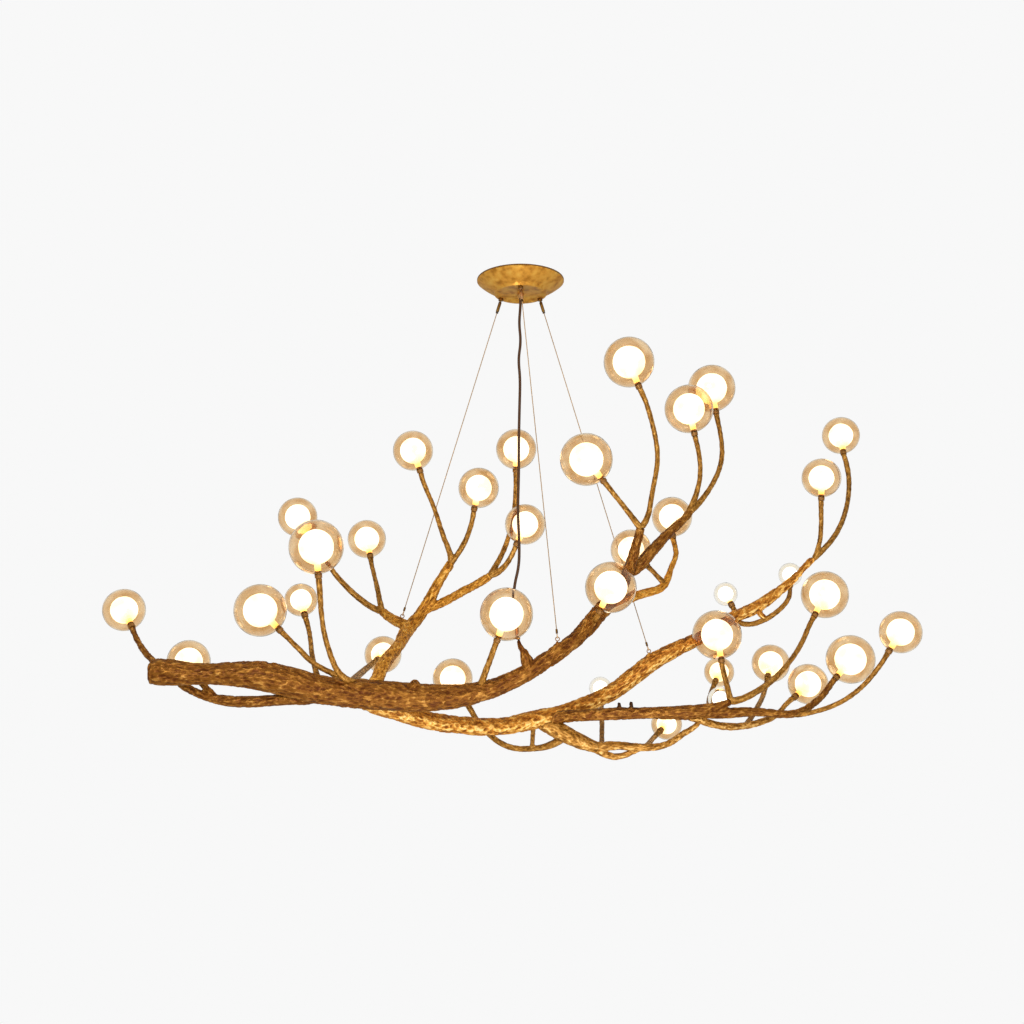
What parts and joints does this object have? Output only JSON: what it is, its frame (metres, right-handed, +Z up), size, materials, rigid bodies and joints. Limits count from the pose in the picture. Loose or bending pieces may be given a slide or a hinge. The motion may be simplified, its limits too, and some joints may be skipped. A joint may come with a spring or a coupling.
{
  "type": "branch chandelier",
  "caption": "Gilded branch chandelier with double-glass globe lamps on bent stems, hung by three wires and a power cord from a round ceiling canopy.",
  "frame": {"origin": "centre of the canopy's rim on the ceiling plane, midway between the two bracket screws", "axes": "+Z up into the ceiling, +X along the branches towards their right end, -Y towards the viewer of the front"},
  "size_m": [1.948, 0.8167, 1.1931],
  "materials": {
    "trunk_gilt": "satin",
    "second_trunk_gilt": "satin",
    "stem_gilt": "satin",
    "champagne_glass": "gloss",
    "opal_glass": "satin",
    "aged_brass": "satin",
    "bright_brass": "satin",
    "silicone": "matte",
    "holder_ceramic": "matte",
    "led_clear": "gloss",
    "canopy_gold": "satin",
    "zinc_steel": "satin",
    "wire_steel": "satin",
    "driver_case": "matte",
    "terminal_plastic": "matte",
    "brown_cord": "matte"
  },
  "bodies": {
    "canopy": {"canopy_cover": "canopy_gold", "ceiling_bracket": "zinc_steel", "earth_screw": "bright_brass", "centre_nipple": "zinc_steel", "nipple_nuts": "zinc_steel", "lock_washer": "zinc_steel", "cord_grip": "bright_brass", "led_driver": "driver_case", "terminal_block": "terminal_plastic", "terminal_screws": "zinc_steel", "gripper_seats": "aged_brass", "gripper_seat_nuts": "zinc_steel", "power_cord": "brown_cord"},
    "frame": {"main_trunk": "trunk_gilt", "second_trunk": "second_trunk_gilt", "left_under_branch": "trunk_gilt", "left_rising_branch": "trunk_gilt", "right_upper_branch": "trunk_gilt", "right_inner_branch": "trunk_gilt", "lower_right_branch": "second_trunk_gilt", "lower_back_branch": "second_trunk_gilt", "bottom_branch": "second_trunk_gilt", "trunk_stems": "stem_gilt", "rising_stems": "stem_gilt", "upper_stems": "stem_gilt", "second_trunk_stems": "stem_gilt", "lower_right_stems": "stem_gilt", "bottom_stems": "stem_gilt", "globe_cups": "aged_brass", "globe_washers": "silicone", "globe_ring_nuts": "aged_brass", "lamp_holders": "holder_ceramic", "led_capsules": "led_clear", "glass_globes_120": "champagne_glass", "glass_globes_100": "champagne_glass", "glass_globes_80": "champagne_glass", "glass_globes_60": "champagne_glass", "opal_balls_120": "opal_glass", "opal_balls_100": "opal_glass", "opal_balls_80": "opal_glass", "opal_balls_60": "opal_glass", "anchor_eyes": "aged_brass", "cord_sleeve": "bright_brass"},
    "wire_front": {"wire_gripper_front": "bright_brass", "suspension_wire_front": "wire_steel", "wire_ferrule_front": "aged_brass"},
    "sleeve_front": {"release_sleeve_front": "aged_brass"},
    "wire_left": {"wire_gripper_left": "aged_brass", "suspension_wire_left": "wire_steel", "wire_ferrule_left": "aged_brass"},
    "sleeve_left": {"release_sleeve_left": "aged_brass"},
    "wire_right": {"wire_gripper_right": "aged_brass", "suspension_wire_right": "wire_steel", "wire_ferrule_right": "aged_brass"},
    "sleeve_right": {"release_sleeve_right": "aged_brass"}
  },
  "joints": [
    {"name": "frame_sway", "type": "hinge", "parent": "canopy", "child": "frame", "pos_m": [-0.00287, 0, 0.12068], "axis": [0.2466, 0.9691, 0], "range_deg": [-3, 3], "deforming": ["power_cord"]},
    {"name": "front_wire_swing", "type": "hinge", "parent": "canopy", "child": "wire_front", "pos_m": [0, -0.0575, -0.042], "axis": [0.2487, 0.9684, -0.0204], "range_deg": [-3.7, 3.7]},
    {"name": "front_release_slide", "type": "slide", "parent": "wire_front", "child": "sleeve_front", "axis": [0.0955, -0.0455, -0.9944], "range_m": [-0.0022, 0], "stiffness_N_per_m": 300, "springref_m": 0.001},
    {"name": "left_wire_swing", "type": "hinge", "parent": "canopy", "child": "wire_left", "pos_m": [-0.0498, 0.02875, -0.042], "axis": [0.2537, 0.967, 0.0229], "range_deg": [-3.7, 3.7]},
    {"name": "left_release_slide", "type": "slide", "parent": "wire_left", "child": "sleeve_left", "axis": [-0.2919, 0.0991, -0.9513], "range_m": [-0.0022, 0], "stiffness_N_per_m": 300, "springref_m": 0.001},
    {"name": "right_wire_swing", "type": "hinge", "parent": "canopy", "child": "wire_right", "pos_m": [0.0498, 0.02875, -0.042], "axis": [0.2036, 0.9671, 0.1525], "range_deg": [-3.7, 3.7]},
    {"name": "right_release_slide", "type": "slide", "parent": "wire_right", "child": "sleeve_right", "axis": [0.2886, 0.0896, -0.9533], "range_m": [-0.0022, 0], "stiffness_N_per_m": 300, "springref_m": 0.001}
  ],
  "couplings": [
    {"joint": "front_wire_swing", "follows": "frame_sway", "ratio": 1.1857},
    {"joint": "left_wire_swing", "follows": "frame_sway", "ratio": 1.2033},
    {"joint": "right_wire_swing", "follows": "frame_sway", "ratio": 1.1687}
  ]
}
